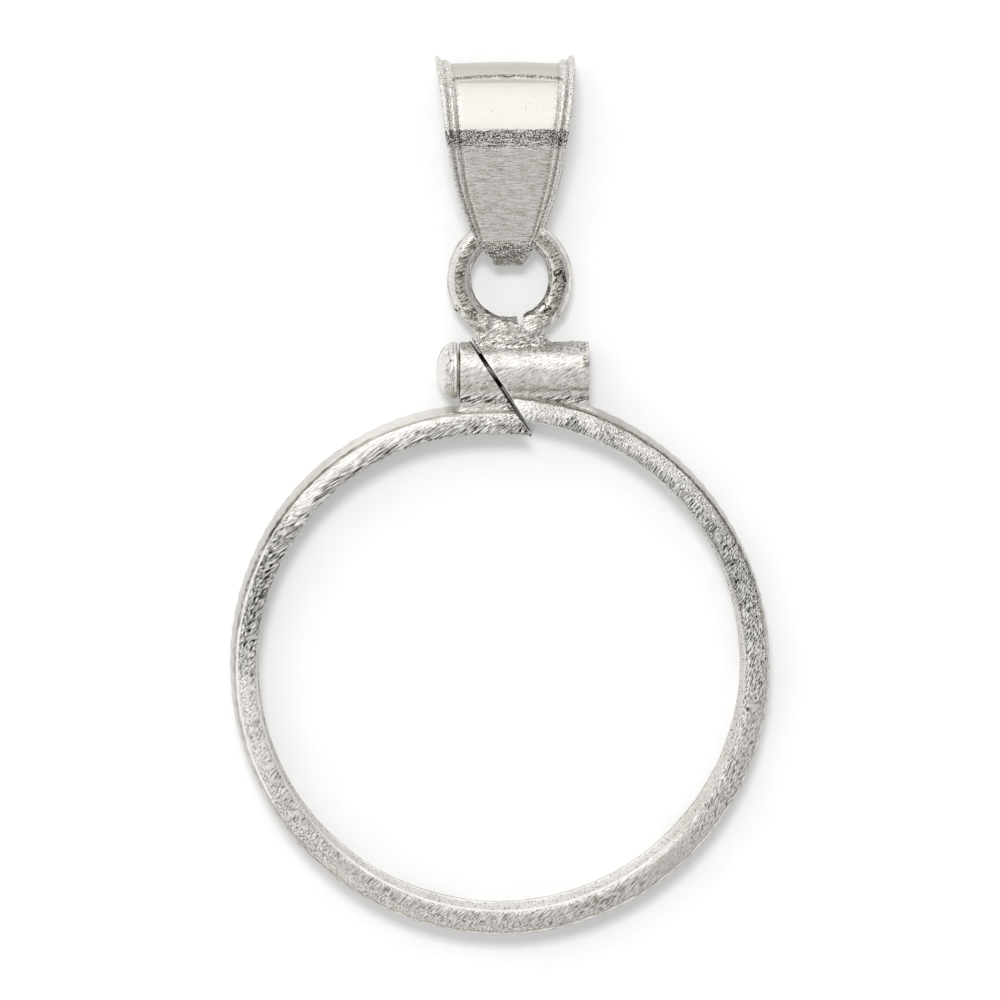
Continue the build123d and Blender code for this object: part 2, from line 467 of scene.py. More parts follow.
def finishSilver(name, s, wearAndPaintedLightOf):
    # worked silver; the piece's own function says how strong and how drawn the marks are, what is darker or lighter, by
    # wear and by painted shade and highlights, and what is polished and pitted
    mat = bpy.data.materials.new(name)
    mat.use_nodes = True
    bench = Bench(mat.node_tree)
    plain = bench.millimetres()
    strength, drawn, darker, polish, pitted = wearAndPaintedLightOf(bench, s)
    patch = bench.noise(plain, s["patchSize"], 2.0)
    least, added = markSet["patchStrokes"]
    strokes = fileMarks(bench, s["strokes"], s["strokesReach"]) * (least + patch * added)
    grain = (bench.noise(plain, s["grainSize"], 1.0, 0.6) - 0.5) * s["grain"]
    marks = (strokes * drawn + grain) * strength
    # pits: the deep spots of a fine noise
    spots = bench.noise(plain, s["pitSize"], 1.0) + (patch - 0.5) * markSet["patchPits"] + pitted
    pits = bench.between(spots, s["pitLevel"], s["pitLevel"] + markSet["pitSoft"])
    stain = bench.between(bench.noise(plain, s["stainSize"], 2.0, 0.6), *markSet["stainTones"]) * s["stain"]
    # the tone: darker holds both wear and painted shade, and its negative parts are painted highlights
    level = 0.5 + marks - darker - stain - pits * s["pitDark"]
    tone = bench.node("ShaderNodeValToRGB", {"stops": s["tones"]}, {0: level})
    rough = bench.between(patch, *markSet["patchTones"], *s["rough"]) * (1 - polish * markSet["polished"])
    height = marks * s["relief"] - pits * s["pitDepth"]
    bump = bench.node("ShaderNodeBump", None, {"Height": height, "Distance": 0.001, "Strength": 1.0})
    surface = bench.node("ShaderNodeBsdfPrincipled", None,
                         {"Base Color": tone, "Roughness": rough, "Metallic": 1.0, "Normal": bump})
    bench.node("ShaderNodeOutputMaterial", None, {0: surface})
    return mat


def dress(obj, mat, body, node):
    obj.data.materials.clear()
    obj.data.materials.append(mat)
    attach(obj, body)
    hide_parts(node)


makeCamera(camSet)
makeLight(lightSet)
makeFloor(floorSet)
bpy.context.scene.view_settings.view_transform = "Standard"
print("camera, light and table ready")

# channel ring, in millimetres and degrees
ringSet = {
    "outer": 11.23,
    "seat": 10.67,
    "lip": 10.13,
    "depth": 2.75,
    "lipThickness": 0.35,
    "column": 0.46875,  # degrees between cross-sections
    "tipColumn": 0.28125,
    "rightTurn": 95.0,
    "rightOpening": 0.22,
    "mainTurn": 210.0,
    "bendTurn": 56.0,
    "bendTightening": 0.84,
    "tipTurn": 12.0,
    "tipFlattening": 7.0,
    "slitWidth": 0.15,
    "slitFoot": 0.04,
    "slitLean": 33.0,
    "slitPlace": (-0.39, 12.32),
    "slitSide": 7,  # only what lies above this is cut for the left end
    "flutes": 96,
    "fluteDepth": 0.026,
    "fluteSteps": [(0.75, 0.3), (0.5, 0.35), (0.25, 0.35)],  # share of the width, share of the depth
    # cloud patterns: size, strength, the tone that stays in place, and where
    "roughness": [("waves", 2.4, 0.03, 1.0, ""), ("dents", 0.35, 0.008, 1.0, ""),
                  ("nibbles", 0.14, 0.09, 1.0, "innerEdge"), ("nicks", 0.5, 0.13, 0.8, "faceEdge")],
}
midHeight = ringSet["depth"] / 2
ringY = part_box("bezel_frame")[0][1] / mm + ringSet["outer"]
print("ring centre at", round(ringY, 3))


def slitWall(s, side, lift=0):
    # a point on one wall of the saw cut, and the way out of the cut, which narrows downwards
    lean = math.radians(s["slitLean"])
    out = Vector((math.cos(lean), math.sin(lean), 0)) * side
    slope = (s["slitWidth"] - s["slitFoot"]) / 2 / s["depth"]
    middle = Vector((s["slitPlace"][0], s["slitPlace"][1] + lift, 0))
    return middle + out * s["slitFoot"] / 2, out - Vector((0, 0, slope))


def cutAndCap(wall):
    point, out = wall
    bpy.ops.mesh.bisect(plane_co=point, plane_no=out, clear_inner=True, use_fill=True, threshold=samePoint)


def spinRun(turn, centre, column):
    # the selected section carried round a centre, by degrees towards +Y; spin itself turns the other way
    bpy.ops.mesh.spin(steps=round(abs(turn) / column), angle=-math.radians(turn), center=centre, axis=(0, 0, 1))


def makeChannelRing(s):
    big, seat, lip, top, thick = s["outer"], s["seat"], s["lip"], s["depth"], s["lipThickness"]
    section = [
        (big - 0.17, 0), (big - 0.05, 0.04), (big, 0.16), (big, 1.5), (big - 0.03, 2.1),  # wall
        (big - 0.07, 2.4), (big - 0.09, 2.47), (big - 0.13, 2.49), (big - 0.18, 2.47),  # its worn edge
        (big - 0.19, 2.52), (big - 0.17, 2.57), (big - 0.2, 2.6),  # crevice
        (big - 0.55, 2.7), (big - 0.72, 2.732), (big - 0.85, 2.742),  # sloping face
        (lip + 0.04, 2.748), (lip + 0.01, 2.73), (lip, 2.69),  # lip
        (lip - 0.04, top - thick + 0.04), (lip + 0.02, top - thick),
        (seat, top - thick), (seat, thick + 0.12),  # where the coin sits
        (lip + 0.3, thick + 0.1), (lip - 0.1, thick), (lip - 0.13, thick - 0.05),  # back lip
        (lip - 0.13, 0.05), (lip - 0.08, 0),
    ]
    obj = drawOutline("channelRing", [(x, 0, z) for x, z in section])
    divide(lambda c, l: c.x > big - 0.01 and l > 1, 5)
    divide(lambda c, l: c.z > 2.6 and l > 0.12, 1)
    divide(lambda c, l: c.x < seat + 0.01 and l > 1, 4)
    divide(lambda c, l: c.z < 0.01 and l > 0.3, 3)
    nameGroup("wall", lambda p: p.x > big - 0.1 and 0.1 < p.z < 2.48)
    nameGroup("faceEdge", lambda p: p.x > big - 0.25 and p.z > 2.5)
    nameGroup("innerEdge", lambda p: p.x < lip + 0.06 and p.z > 2.45)

    # the right end first, cut by the saw and hidden but for its first section
    pickAll()
    spinRun(s["rightTurn"], (-s["rightOpening"], 0, 0), s["column"])
    pickAll()
    cutAndCap(slitWall(s, 1))
    pickVerts(lambda p: abs(p.y) > 0.0001)
    bpy.ops.mesh.hide()

    # then the other way round, through the bend, to the drooping left end
    pickAll()
    spinRun(-s["mainTurn"], (0, 0, 0), s["column"])
    start = math.radians(360 - s["mainTurn"])
    bend = Vector((math.cos(start), math.sin(start), 0)) * s["bendTightening"]
    spinRun(-s["bendTurn"], bend, s["column"])
    end = start - math.radians(s["bendTurn"])
    tip = bend - Vector((math.cos(end), math.sin(end), 0)) * (s["bendTightening"] + s["tipFlattening"])
    spinRun(-s["tipTurn"], tip, s["tipColumn"])
    pickVerts(lambda p: p.y > s["slitSide"])
    cutAndCap(slitWall(s, -1))
    bpy.ops.mesh.reveal()
    faceOutwards()

    # coin-edge flutes, each deepest in its middle
    def fluteShare(p):
        turns = math.atan2(p.y, p.x) / (2 * math.pi) * s["flutes"]
        return abs(turns - math.floor(turns) - 0.5) * 2

    for reach, depth in s["fluteSteps"]:
        pickGroup("wall", lambda p: fluteShare(p) < reach)
        bpy.ops.transform.shrink_fatten(value=-s["fluteDepth"] * depth)
    closeEdit()
    for row in s["roughness"]:
        roughen(obj, *row)
    pickObjects(obj)
    bpy.ops.transform.translate(value=(0, ringY, 0))
    toCadPlace(obj, "channelRing")
    return obj


ringFinish = dict(
    silverFinish,
    strokes=[(34, 0.024, 0.5, 0.95, (-6.0, 1.4)), (50, 0.026, 0.24, 1.1, (-10.5, -9.6)),
             (43, 0.026, 0.4, 0.8, (0.0, -17.7)), (66, 0.028, 0.2, 0.95, (10.0, -8.1)),
             (55, 0.026, 0.35, 0.95, (6.5, 1.1)), (-50, 0.03, 0.3, 0.2, None)],
    # degrees round the face from the bail to the right, and how worn it is there
    worn=[(-180, 0.14), (-130, 0.12), (-92, 0.12), (-81, 0.85), (-62, 0.85), (-50, 0.12), (-12, 0.08), (12, 0.2),
          (45, 0.36), (60, 0.8), (74, 0.8), (84, 0.3), (112, 0.2), (130, 0.12), (180, 0.14)],
    gouge=((3.05, 2.95), 0.5),
    # where each place begins and ends, and for a band how soft it is
    fromLip={"inner": (0.1, 0.65), "rim": (-0.03, 0.05, 0.02), "backRim": (-0.12, -0.07, 0.015),
             "edge": (0.0, 0.06), "foot": (-0.12, -0.1)},
    fromOuter={"wall": (-0.14, -0.1), "crevice": (-0.24, -0.12, 0.02), "shine": (-0.31, -0.19, 0.02)},
    fromCentre={"upper": (2, 6), "crevice": (1, 6), "low": (-8.5, -6.5), "calm": (-5, -4), "calmEnd": (-0.6, 0.2)},
    sideways={"left": (-9.9, -9.2), "right": (-1, 3), "glow": (-6.5, -3.5), "glowEnd": (-0.5, 0.5), "farRight": (4, 8)},
    heights={"face": (2.5, 2.58), "crevice": (2.42, 2.5, 0.03), "shine": (2.49, 2.52), "rim": (2.3, 2.4),
             "backRim": (0.28, 0.33), "foot": (0.2, 0.3), "ledge": (0.45, 0.5)},
    marks={"plain": 0.32, "worn": 1.9, "inner": 0.65, "gouge": 2.2, "ledge": 0.5},
    dark={"plain": 0.0, "worn": 0.14, "inner": 0.01, "innerRight": -0.06, "calm": -0.1, "glow": -0.1,
          "farRight": -0.03, "crevice": 0.28, "wall": 0.12, "wallRight": 0.05, "low": 0.03, "foot": 0.35,
          "edge": 0.16, "outerFace": -0.12, "shine": -0.35, "lowLedge": -0.06, "cut": 0.6, "burr": -0.16},
    pitted={"plain": 0.0, "worn": 0.12, "gouge": 0.1, "ledge": 0.12},
)
cutSet = {
    "reach": (2.5, 2.7),  # only beyond this y
    "edge": (0.004, 0.03),  # from the cut's wall, on both sides
    "burr": (0.04, 0.07, 0.02),
}


def inSawCut(bench, x, y):
    # in the saw cut, which is painted dark as shade, and on the burr beside it
    lean = math.radians(ringSet["slitLean"])
    px, py = ringSet["slitPlace"][0], ringSet["slitPlace"][1] + ringY
    side = (x - px) * math.cos(lean) + (y - py) * math.sin(lean)
    wall = ringSet["slitWidth"] / 2
    near = bench.between(y, *cutSet["reach"])
    return bench.until(abs(side) - wall, *cutSet["edge"]) * near, bench.band(side - wall, *cutSet["burr"]) * near


def ringWearAndPaintedLight(bench, s):
    x, y, z = bench.place()
    up = y - ringY
    radius = distance(x, y, (0, ringY))
    fromLip, fromOuter = radius - ringSet["lip"], radius - ringSet["outer"]
    lips, outers, rises, sides, heights = s["fromLip"], s["fromOuter"], s["fromCentre"], s["sideways"], s["heights"]
    clock = x.maths("ARCTAN2", x, up) / (2 * math.pi) + 0.5
    wornStops = [((degrees + 180) / 360, share) for degrees, share in s["worn"]]
    worn = bench.node("ShaderNodeValToRGB", {"stops": wornStops}, {0: clock})
    uneven = bench.noise(bench.millimetres(), 0.6, 2.0) * 1.7 - 0.2
    face = bench.between(z, *heights["face"])
    upper = bench.between(up, *rises["upper"])
    low = bench.until(up, *rises["low"])
    left = bench.until(x, *sides["left"])
    right = bench.between(x, *sides["right"])
    inner = bench.until(fromLip, *lips["inner"])
    ledge = bench.until(z, *heights["ledge"])
    # painted shade: the outer wall, which faces sideways, is darker, and more so on the right
    wall = bench.between(fromOuter, *outers["wall"]) * (1 - face)
    # the crevice under the face edge is darker: partly tarnish, partly painted shade
    crevice = bench.band(fromOuter, *outers["crevice"]) * bench.band(z, *heights["crevice"])
    crevice = crevice * bench.between(up, *rises["crevice"])
    # painted highlights: a thin bright line on each lip's inner edge low on the ring, and a bright strip on the outer
    # face edge at the left; fewer marks there
    rims = bench.band(fromLip, *lips["rim"]) * bench.between(z, *heights["rim"])
    rims = rims + bench.band(fromLip, *lips["backRim"]) * bench.between(z, *heights["backRim"]) * ledge
    shine = bench.band(fromOuter, *outers["shine"]) * bench.between(z, *heights["shine"]) * left
    shine = shine + rims * low * uneven
    # painted shade along the lip's inner edge at the top of the ring
    edge = bench.until(fromLip, *lips["edge"]) * bench.between(z, *heights["rim"]) * upper
    # painted shade on the inner wall of the back lip, down by the table
    foot = bench.until(fromLip, *lips["foot"]) * bench.until(z, *heights["foot"])
    gouge = nearSpot(bench, x, y, *s["gouge"]) * face
    calm = left * bench.between(up, *rises["calm"]) * bench.until(up, *rises["calmEnd"])
    # painted highlights: the upper face is lighter just left of the middle (glow), and its outer part is lighter along
    # the whole top (outerFace)
    glow = bench.between(x, *sides["glow"]) * bench.until(x, *sides["glowEnd"]) * upper
    cut, burr = inSawCut(bench, x, y)
    strength = addMasks(s["marks"], worn=worn, inner=inner * upper, gouge=gouge, ledge=ledge)
    strength = strength * (0.7 + face * 0.3) * (1 - shine.least(1.0) * 0.8)
    darker = addMasks(s["dark"], worn=worn ** 3.0 * face, inner=inner * upper * face,
                      innerRight=inner * upper * face * right, calm=calm * face, glow=glow * face,
                      farRight=bench.between(x, *sides["farRight"]) * face, crevice=crevice * uneven, wall=wall,
                      wallRight=wall * right, low=low, foot=foot, edge=edge, outerFace=(1 - inner) * upper * face,
                      shine=shine, lowLedge=ledge * low, cut=cut, burr=burr)
    drawn = (0.3 + face * 0.7) * (1 - ledge)
    return strength, drawn, darker, 0.0, addMasks(s["pitted"], worn=worn * face, gouge=gouge, ledge=ledge)


# barrel, its solder, and the wire ring on it
topSet = {
    "barrelY": 5.221,
    "barrelRadius": 1.2,
    "barrelEnds": (-1.74, 3.7),
    "boreRadius": 0.74,
    "blockInset": 0.02,
    "blockHalf": (0.75, 0.85),
    "blockSteps": (0.3, 0.5),
    "blockFlare": (1.14, 1, 1.12),
    "footRise": 1.3,
    "footHalf": (1.32, 0.34, 0.57),
    "footTaper": (0.8, 1, 0.8),
    "ringX": 0.4,
    "ringY": 9.021,
    "ringRadius": 2.1,
    "wireRadius": 0.53,
    "seam": (0.42, 0.5, 0.72),  # offset, width, depth
    # circle just outside the coin's seat at each end: its centre from the ring's, and its radius
    "clearRight": (-0.22, 0.0, 10.99),
    "clearLeft": (-0.18, -7.4, 17.77),
    "clearDepth": 4,
    "nick": (0.24, 0.8, 0.45),
    "voxel": 0.05,
    "smoothing": (12, 2),
    # cloud patterns: size, strength, the tone that stays in place, and where
    "roughness": [("solderWaves", 0.7, 0.06, 0.8), ("solderGrain", 0.22, 0.03, 0.8)],
    "lumpiness": ("solderLumps", 0.33, 0.2, 0.5, "solder"),
    "solder": (6.4, 7.9),
    # place, half sizes and turn of each lump of solder on the wire ring's foot
    "lumps": [
        ((-0.75, 7.12, 1.6), (0.66, 0.34, 0.42), -24),
        ((-1.3, 7.62, 1.7), (0.42, 0.32, 0.34), -50),
        ((0.15, 6.86, 1.55), (0.5, 0.3, 0.46), 8),
        ((1.35, 6.9, 1.6), (0.6, 0.3, 0.42), 24),
        ((2.0, 7.4, 1.62), (0.42, 0.26, 0.36), 45),
        ((-0.75, 6.55, 1.3), (0.45, 0.35, 0.6), 0),
        ((1.55, 6.5, 1.3), (0.5, 0.3, 0.6), 0),
        ((0.4, 6.45, 1.45), (1.5, 0.42, 0.62), 0),
    ],
}


def addCube(place, half):
    bpy.ops.mesh.primitive_cube_add(size=2, location=place)
    obj = bpy.context.object
    obj.scale = half
    bpy.ops.object.transform_apply()
    return obj


def makeSolderedTop(s):
    low, high = s["barrelEnds"]
    middle = (low + high) / 2
    y = s["barrelY"]
    alongX = (0, math.pi / 2, 0)
    selectNone()
    bpy.ops.mesh.primitive_cylinder_add(vertices=96, radius=s["barrelRadius"], depth=high - low,
                                        location=(middle, y, midHeight), rotation=alongX)
    parts = [bpy.context.object]

    # solder under the barrel: a block that spreads where it meets the ring's wall
    inset = s["blockInset"]
    halfDrop, halfDepth = s["blockHalf"]
    block = addCube((middle + inset, y - halfDrop, midHeight), ((high - low) / 2 - inset, halfDrop, halfDepth))
    openEdit(block)
    pickVerts(lambda p: p.y < y - 1.9 * halfDrop)
    bpy.ops.mesh.extrude_region_move(TRANSFORM_OT_translate={"value": (0, -s["blockSteps"][0], 0)})
    bpy.ops.transform.resize(value=s["blockFlare"])
    bpy.ops.mesh.extrude_region_move(TRANSFORM_OT_translate={"value": (0, -s["blockSteps"][1], 0)})
    closeEdit()
    parts.append(block)

    # wire ring, the foot that holds it, and lumps of solder
    bpy.ops.mesh.primitive_torus_add(major_radius=s["ringRadius"], minor_radius=s["wireRadius"], major_segments=96,
                                     minor_segments=32, location=(s["ringX"], s["ringY"], midHeight))
    parts.append(bpy.context.object)
    foot = addCube((s["ringX"], y + s["footRise"], midHeight), s["footHalf"])
    openEdit(foot)
    pickVerts(lambda p: p.y > y + s["footRise"])
    bpy.ops.transform.resize(value=s["footTaper"])
    closeEdit()
    parts.append(foot)
    for place, half, turn in s["lumps"]:
        bpy.ops.mesh.primitive_ico_sphere_add(subdivisions=3, radius=1, location=place,
                                              rotation=(0, 0, math.radians(turn)), scale=half)
        parts.append(bpy.context.object)
    for part in parts:
        pickObjects(part)
        bpy.ops.object.transform_apply()
    pickObjects(*parts)
    bpy.ops.object.join()
    obj = bpy.context.object
    applyModifier(obj, "REMESH", mode="VOXEL", voxel_size=s["voxel"], adaptivity=0)
    applyModifier(obj, "SMOOTH", factor=0.5, iterations=s["smoothing"][0])
    for row in s["roughness"]:
        roughen(obj, *row)
    openEdit(obj)
    nameGroup("solder", lambda p: s["solder"][0] < p.y < s["solder"][1] and p.z > midHeight)
    closeEdit()
    roughen(obj, *s["lumpiness"])
    applyModifier(obj, "SMOOTH", factor=0.5, iterations=s["smoothing"][1])

    # bore, nick and seam
    bpy.ops.mesh.primitive_cylinder_add(vertices=96, radius=s["boreRadius"], depth=12,
                                        location=(1, y, midHeight), rotation=alongX)
    bore = bpy.context.object
    nickX, nickY, nickZ = s["nick"]
    nick = addCube((high, y, midHeight + s["barrelRadius"]), (nickX, nickY / 2, nickZ))
    offset, width, depth = s["seam"]
    mouth = s["ringY"] - math.sqrt((s["ringRadius"] - s["wireRadius"]) ** 2 - offset ** 2)
    seamX = s["ringX"] + offset
    wedge = drawOutline("wedge", [(seamX - width / 2, mouth + width, -1), (seamX + width / 2, mouth + width, -1),
                                  (seamX, mouth - depth, -1)], filled=True)
    bpy.ops.mesh.extrude_region_move(TRANSFORM_OT_translate={"value": (0, 0, 5)})
    faceOutwards()
    closeEdit()
    for part in (bore, nick, wedge):
        cutAway(obj, part)

    # the saw cut parts it in two, and no solder stays in the channel where the coin sits
    pickObjects(obj)
    bpy.ops.object.duplicate()
    other = bpy.context.object
    for half, side, (x, fromRing, radius) in ((obj, 1, s["clearRight"]), (other, -1, s["clearLeft"])):
        openEdit(half)
        pickAll()
        cutAndCap(slitWall(ringSet, side, ringY))
        closeEdit()
        selectNone()
        bpy.ops.mesh.primitive_cylinder_add(vertices=360, radius=radius, depth=s["clearDepth"],
                                            location=(x, ringY + fromRing, midHeight))
        cutAway(half, bpy.context.object)
    pickObjects(obj, other)
    bpy.ops.object.join()
    toCadPlace(obj, "solderedTop")
    return obj


topFinish = dict(
    silverFinish,
    strokes=[(24, 0.04, 0.5, 0.6, None), (65, 0.036, 0.25, 0.3, None)],
    patchSize=0.8, pitSize=0.09, pitLevel=0.72, stainSize=0.45, stain=0.09, rough=(0.18, 0.28),
    # spots: place and radius
    blackSpots=[((2.4, 9.1), 0.5), ((2.15, 8.4), 0.34), ((1.85, 7.85), 0.34), ((-1.75, 7.75), 0.24)],
    stainSpot=((0.35, 3.6), 0.55), nickSpot=((3.6, 5.6), 0.5), dotSpot=((1.25, 10.15), 0.22),
    # where each place begins and ends, and for a band how soft it is
    along={"loop": (6.3, 6.9), "solder": (6.3, 7.7, 0.3), "under": (3.95, 4.12, 0.12), "light": (5.0, 6.1, 0.2),
           "wire": (7.1, 7.6)},
    heights={"under": (0.8, 1.3), "wire": (0.5, 1.0)},
    nickSide=(3.35, 3.45),
    # across the wire, from the middle of its hole outwards
    across={"innerRim": (1.62, 1.7), "bright": (1.76, 1.84, 0.05), "worn": (1.95, 2.25, 0.1),
            "outerBright": (2.36, 2.48, 0.07), "outerRim": (2.54, 2.62)},
    holeTones=(0.47, 0.55),
    marks={"plain": 0.45, "solder": 0.45, "stain": 0.9, "under": 0.8, "worn": 0.7},
    dark={"plain": 0.0, "holes": 0.42, "under": 0.16, "stain": 0.12, "nick": 0.25, "solder": 0.03, "dot": 0.45,
          "light": -0.07, "wire": 0.03, "rim": 0.32, "bright": -0.1, "worn": 0.14, "cut": 0.6, "burr": -0.14},
    pitted={"plain": 0.0, "stain": 0.12, "loop": 0.05},
)


def topWearAndPaintedLight(bench, s):
    x, y, z = bench.place()
    along, heights, across = s["along"], s["heights"], s["across"]
    loop = bench.between(y, *along["loop"])
    solder = bench.band(y, *along["solder"])
    black = nearSpot(bench, x, y, *s["blackSpots"][0])
    for spot in s["blackSpots"][1:]:
        black = black.most(nearSpot(bench, x, y, *spot))
    holes = black * bench.between(bench.noise(bench.millimetres(), 0.15, 2.0), *s["holeTones"])
    under = bench.band(y, *along["under"]) * bench.between(z, *heights["under"])
    stain = nearSpot(bench, x, y, *s["stainSpot"])
    nick = nearSpot(bench, x, y, *s["nickSpot"]) * bench.between(x, *s["nickSide"])
    # painted shade: a dark spot in the wire ring's hole beside the bail, where the hole lies in shadow
    dot = nearSpot(bench, x, y, *s["dotSpot"])
    # painted highlight: lighter in a strip along the barrel, on its half towards the bail
    light = bench.band(y, *along["light"])
    cut, burr = inSawCut(bench, x, y)
    # painted shading across the wire, from its inner edge outwards: dark edge, highlight, a worn crest with more marks
    # that is also painted darker as shade, highlight, dark edge
    wavy = (bench.noise(bench.millimetres(), 0.6, 2.0) - 0.5) * 0.16
    hole = distance(x, y, (topSet["ringX"], topSet["ringY"])) + wavy
    wire = bench.between(y, *along["wire"]) * bench.between(z, *heights["wire"])
    rim = bench.until(hole, *across["innerRim"]) + bench.between(hole, *across["outerRim"]) * 0.6
    bright = bench.band(hole, *across["bright"]) + bench.band(hole, *across["outerBright"])
    worn = bench.band(hole, *across["worn"]) * wire
    strength = addMasks(s["marks"], solder=solder, stain=stain, under=under, worn=worn)
    darker = addMasks(s["dark"], holes=holes, under=under, stain=stain, nick=nick, solder=solder, dot=dot, light=light,
                      wire=wire, rim=rim * wire, bright=bright * wire, worn=worn, cut=cut, burr=burr)
    return strength, (1 - black) * (1 - loop * 0.6), darker, loop * 0.6, addMasks(s["pitted"], stain=stain, loop=loop)


# clamp screw
screwSet = {
    "y": 5.221,
    "shank": 0.7,
    "tip": 3.35,
    "tipBevel": 0.15,
    "seat": -1.79,
    "seatBevel": (0.02, 0.05),
    "rim": 0.1,
    "height": 0.85,
    "head": 1.18,
    "domeSteps": 12,
    "slotWidth": 0.34,
    "slotDepth": 0.36,
}


def makeScrew(s):
    seat, shank, head, bevel = s["seat"], s["shank"], s["head"], s["tipBevel"]
    inside, outside = s["seatBevel"]
    dome = s["height"] - s["rim"]
    section = [(s["tip"], 0), (s["tip"], shank - bevel), (s["tip"] - bevel, shank), (seat + inside, shank),
               (seat, shank + inside), (seat, head - outside), (seat - outside, head)]
    for i in range(1, s["domeSteps"]):
        turn = math.radians(90 * i / s["domeSteps"])
        section.append((seat - s["rim"] - dome * math.sin(turn), head * math.cos(turn)))
    section.append((seat - s["rim"] - dome, 0))
    obj = drawOutline("clampScrewDressed", [(x, s["y"] + r, midHeight) for x, r in section])
    # the edge along the axis goes, so that the turned shape has no inner wall
    bm = bmesh.from_edit_mesh(obj.data)
    onAxis = [e for e in bm.edges if all(abs(v.co.y - s["y"]) < 0.001 for v in e.verts)]
    bm.edges.remove(onAxis[0])
    bmesh.update_edit_mesh(obj.data)
    pickAll()
    bpy.ops.mesh.spin(steps=96, angle=2 * math.pi, center=(0, s["y"], midHeight), axis=(1, 0, 0))
    faceOutwards(0.0001)
    closeEdit()
    slot = addCube((seat - s["height"], s["y"], midHeight), (s["slotDepth"], head * 1.2, s["slotWidth"] / 2))
    cutAway(obj, slot)
    toCadPlace(obj, "screwDressed")
    return obj


screwFinish = dict(
    topFinish,
    strokes=[(60, 0.04, 0.4, 0.5, None)], rough=(0.16, 0.24), stain=0.02,
    # along the screw, and out from its axis
    along={"seat": (-1.84, -1.8), "arc": (-1.97, -1.94, 0.02), "dome": (-1.95, -1.98)},
    rimReach=(0.85, 1.1),
    polish=0.6,
    marks={"plain": 0.3, "rim": 0.5},
    dark={"plain": -0.07, "seat": 0.25, "arc": 0.2, "rim": 0.06},
    pitted={"plain": 0.0, "rim": 0.06},
)


def screwWearAndPaintedShade(bench, s):
    x, y, z = bench.place()
    # painted shade: a dark line where the head meets the barrel, another where the dome begins, and a darker rim round
    # the dome, which also has more marks and pits
    seat = bench.between(x, *s["along"]["seat"])
    arc = bench.band(x, *s["along"]["arc"])
    fromAxis = distance(y, z, (screwSet["y"], midHeight))
    rim = bench.between(fromAxis, *s["rimReach"]) * bench.between(x, *s["along"]["dome"])
    darker = addMasks(s["dark"], seat=seat, arc=arc, rim=rim)
    return addMasks(s["marks"], rim=rim), 1.0, darker, s["polish"], addMasks(s["pitted"], rim=rim)


# bail
bailSet = {
    "wire": (0.4, 11.121, 1.375),
    "tilt": 8.93,
    "bend": (10.805, 1.325, 1.295),  # y, z and radius of the bend round the wire ring
    "frontSlope": 19.5,
    # side view of the outer surface past the front leaf, y and z
    "arch": [(15.27, 4.27), (15.9, 4.12), (16.5, 3.89), (17.0, 3.59), (17.45, 3.27), (17.85, 2.87), (18.14, 2.37),
             (18.27, 1.85), (18.31, 1.45), (18.23, 1.0), (17.94, 0.5), (17.45, 0.19), (16.8, 0.07), (16.2, 0.035),
             (15.5, 0.03)],
    "samples": (20, 60, 160, 60),  # points on the lap, leaf, arch and bend, before they are evened out
    "steps": 420,
    "smoothing": (3, 2),
    "bottom": -1.62,
    "length": 8.89,
    "leafDepth": 4.86,
    "halfWidth": 2.9,
    "strip": 0.4,
    "panel": 0.14,
    "front": (-0.43, 2.0),  # shift and lean of the front leaf
    "back": (0.61, -5.8),
    # share of the length up from the bend, share of the full width
    "outline": [(-0.02, 0.09), (0.0, 0.14), (0.014, 0.185), (0.032, 0.212), (0.055, 0.222), (0.07, 0.25),
                (0.085, 0.31), (0.137, 0.415), (0.27, 0.578), (0.43, 0.735), (0.62, 0.845), (0.86, 0.955),
                (1.02, 1.01)],
    "hollow": (17.3, 18.31, 0.3),  # the top edge between the ears: from where, to where and how deep
    "hollowShape": (0.95, 9, 0.55),  # its reach, its steepness at the ears and how much of it is in the middle
    "ridgeEnd": (11.1, 0.6, -0.03),  # where the ridges end above the bend, over what length, and at what level
    "lapTurn": 41.0,
    "lapStep": 0.16,
    "lapBow": 0.42,
    "lapRun": (0.05, 0.35, 0.6),  # how the step past the lap begins, holds and fades
}


def smoothTable(table, x):
    # a smooth curve through the rows of a table
    rows = [table[0]] + list(table) + [table[-1]]
    for before, here, there, after in zip(rows, rows[1:], rows[2:], rows[3:]):
        if x <= there[0] or there is after:
            span = there[0] - here[0]
            t = held((x - here[0]) / span)
            slopeA = (there[1] - before[1]) / max(there[0] - before[0], 1e-6) * span
            slopeB = (after[1] - here[1]) / max(after[0] - here[0], 1e-6) * span
            return ((2 * t**3 - 3 * t**2 + 1) * here[1] + (t**3 - 2 * t**2 + t) * slopeA
                    + (3 * t**2 - 2 * t**3) * there[1] + (t**3 - t**2) * slopeB)


